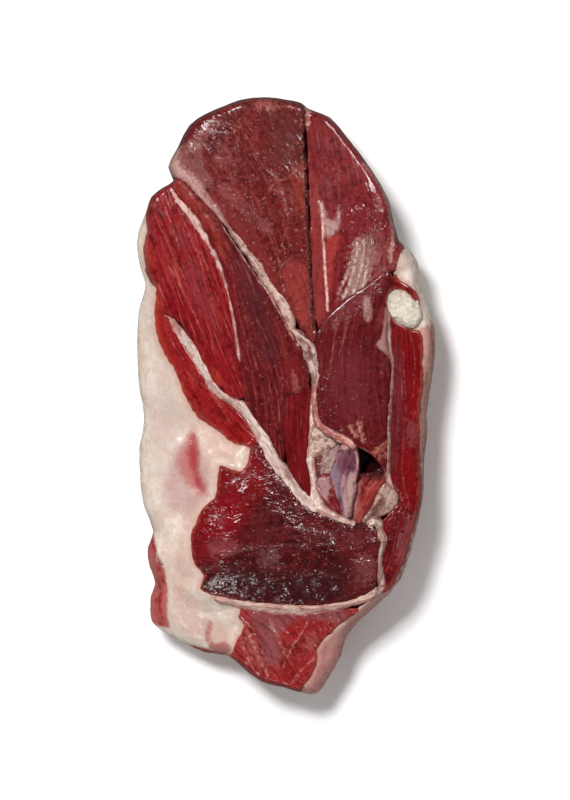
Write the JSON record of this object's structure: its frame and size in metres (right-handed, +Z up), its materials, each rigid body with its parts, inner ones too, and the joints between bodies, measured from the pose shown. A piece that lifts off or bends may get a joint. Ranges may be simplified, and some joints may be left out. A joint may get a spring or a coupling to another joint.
{
  "type": "boneless cured ham",
  "caption": "Whole boneless cured ham lying fat side down: dark red muscles with creases, pale fat seams, a bone hollow and a thick cream fat cover.",
  "frame": {"origin": "centre of the bounding box in plan, on the surface that the ham rests on", "axes": "+X across the ham from its fat side to the side of the bone hollow, +Y along it to its broad end, +Z up from the fat side to the cut muscles"},
  "size_m": [0.2005, 0.4, 0.0837],
  "materials": {
    "cured_lean": "moist, oily cured meat in dark red, with silvery membrane and cream fat streaks",
    "pork_fat": "waxy cream to pale pink fat, satin and slightly greasy"
  },
  "bodies": {
    "root": {"lean_meat": "cured_lean", "fat_cover": "pork_fat"}
  },
  "joints": []
}
